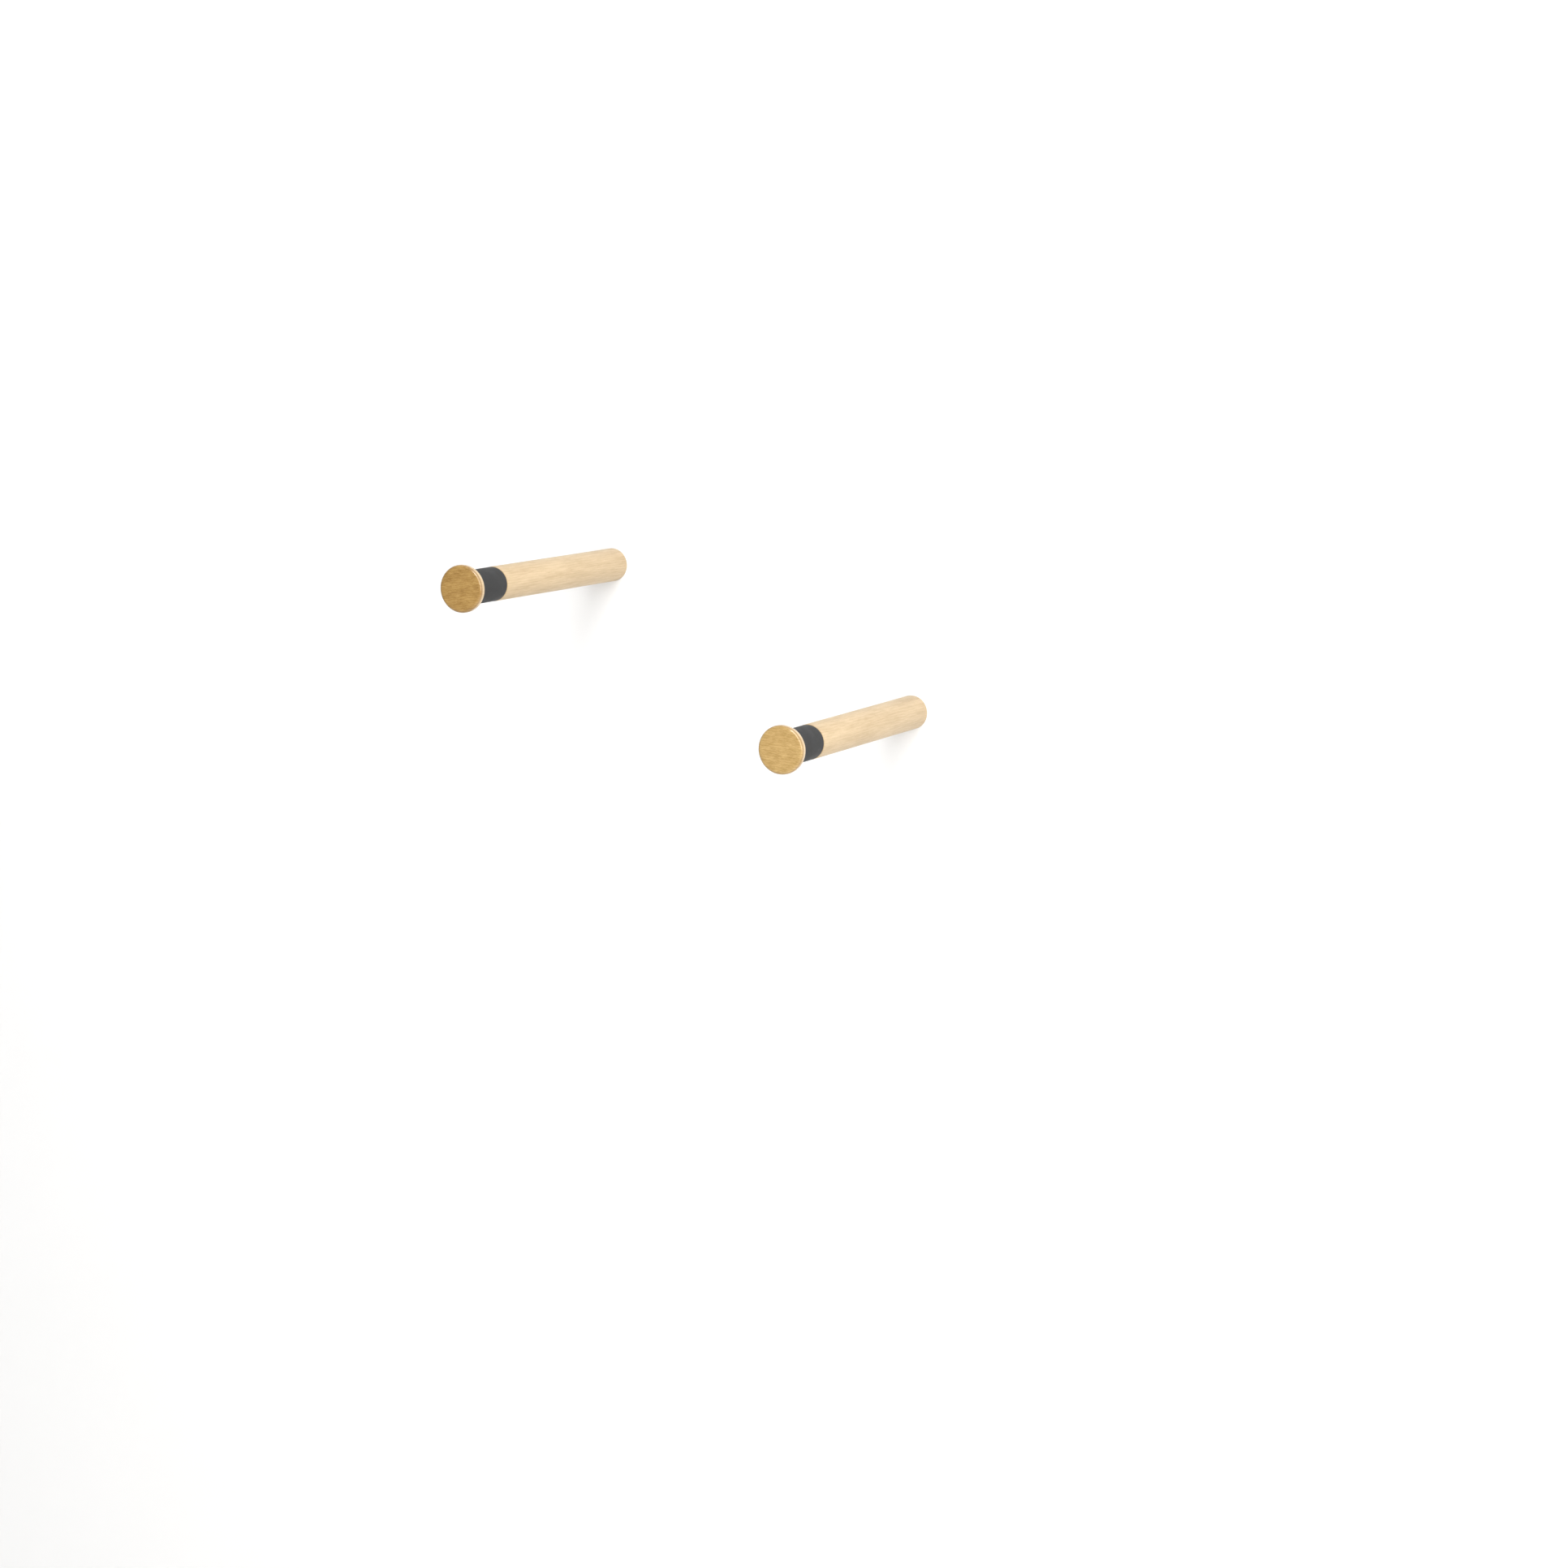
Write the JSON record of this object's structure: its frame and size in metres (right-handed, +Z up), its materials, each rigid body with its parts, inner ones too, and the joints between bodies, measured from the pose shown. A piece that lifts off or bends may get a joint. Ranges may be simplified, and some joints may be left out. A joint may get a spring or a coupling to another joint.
{
  "type": "bicycle wall rack",
  "caption": "Pair of turned oak wall pegs with black rubber sleeves and flanged heads that carry a bicycle by its top tube.",
  "frame": {"origin": "on the wall's surface, midway between the two pegs' axes", "axes": "+Y into the wall along the pegs' axes, +Z up, +X to the right as one faces the wall; the pegs stand out towards -Y"},
  "size_m": [0.428, 0.4363, 0.206],
  "materials": {
    "oak": "pale oak, turned and sanded, satin oil, fine grain along the peg",
    "end_grain_oak": "oak end grain, darker and warmer, satin oil, fine wavy streaks across the disc",
    "black_rubber": "matte black rubber, smooth",
    "zinc_plated_steel": "bright zinc plating over cut threads",
    "grey_nylon": "moulded grey nylon, semi-matte"
  },
  "bodies": {
    "root": {"upper_shaft": "oak", "upper_sleeve": "black_rubber", "upper_head": "end_grain_oak", "upper_threaded_insert": "zinc_plated_steel", "upper_hanger_bolt": "zinc_plated_steel", "upper_wall_plug": "grey_nylon", "lower_shaft": "oak", "lower_sleeve": "black_rubber", "lower_head": "end_grain_oak", "lower_threaded_insert": "zinc_plated_steel", "lower_hanger_bolt": "zinc_plated_steel", "lower_wall_plug": "grey_nylon"}
  },
  "joints": []
}
